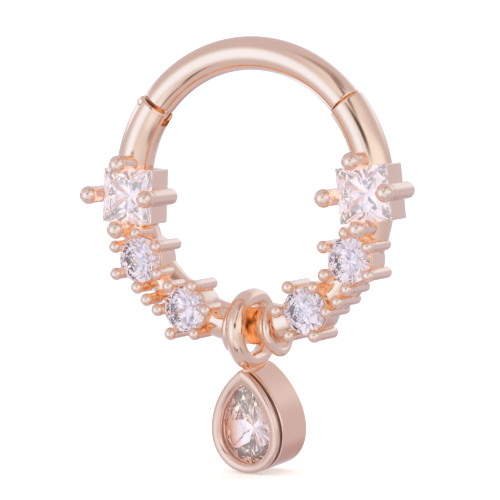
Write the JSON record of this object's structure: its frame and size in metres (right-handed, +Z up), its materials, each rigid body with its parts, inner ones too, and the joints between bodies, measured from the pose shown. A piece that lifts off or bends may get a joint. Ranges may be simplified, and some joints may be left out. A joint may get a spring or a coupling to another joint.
{
  "type": "hinged nose hoop with stones and a pear drop",
  "caption": "Hinged-segment hoop for a septum or nostril, with claw-set stones on its fixed arc and a bezel-set pear drop hanging from its bottom bar.",
  "frame": {"origin": "the top of the gate's centreline, where the hoop passes through the piercing and hangs", "axes": "+Z up, towards the top of the gate; -Y towards the viewer, the side that the stones face; +X to the right as the stones are seen from the front"},
  "size_m": [0.0118, 0.0032, 0.0148],
  "materials": {
    "rose_gold": "polished rose gold",
    "square_crystal": "faceted, clear with a pink cast",
    "round_crystal": "faceted, clear with a blue cast",
    "pear_crystal": "faceted, clear"
  },
  "bodies": {
    "hoop": {"hoop_frame": "rose_gold", "hinge_pin": "rose_gold", "square_stone_left": "square_crystal", "square_stone_right": "square_crystal", "round_stone_left_upper": "round_crystal", "round_stone_right_upper": "round_crystal", "round_stone_left_lower": "round_crystal", "round_stone_right_lower": "round_crystal"},
    "gate": {"gate": "rose_gold"},
    "drop": {"drop_setting": "rose_gold", "pear_stone": "pear_crystal"}
  },
  "joints": [
    {"name": "gate_hinge", "type": "hinge", "parent": "hoop", "child": "gate", "pos_m": [-0.00397, 0, -0.00153], "axis": [0, -1, 0], "range_deg": [0, 95]},
    {"name": "drop_swing", "type": "hinge", "parent": "hoop", "child": "drop", "pos_m": [-0.0002, 0, -0.0092], "axis": [1, 0, 0], "range_deg": [-80, 75]}
  ]
}
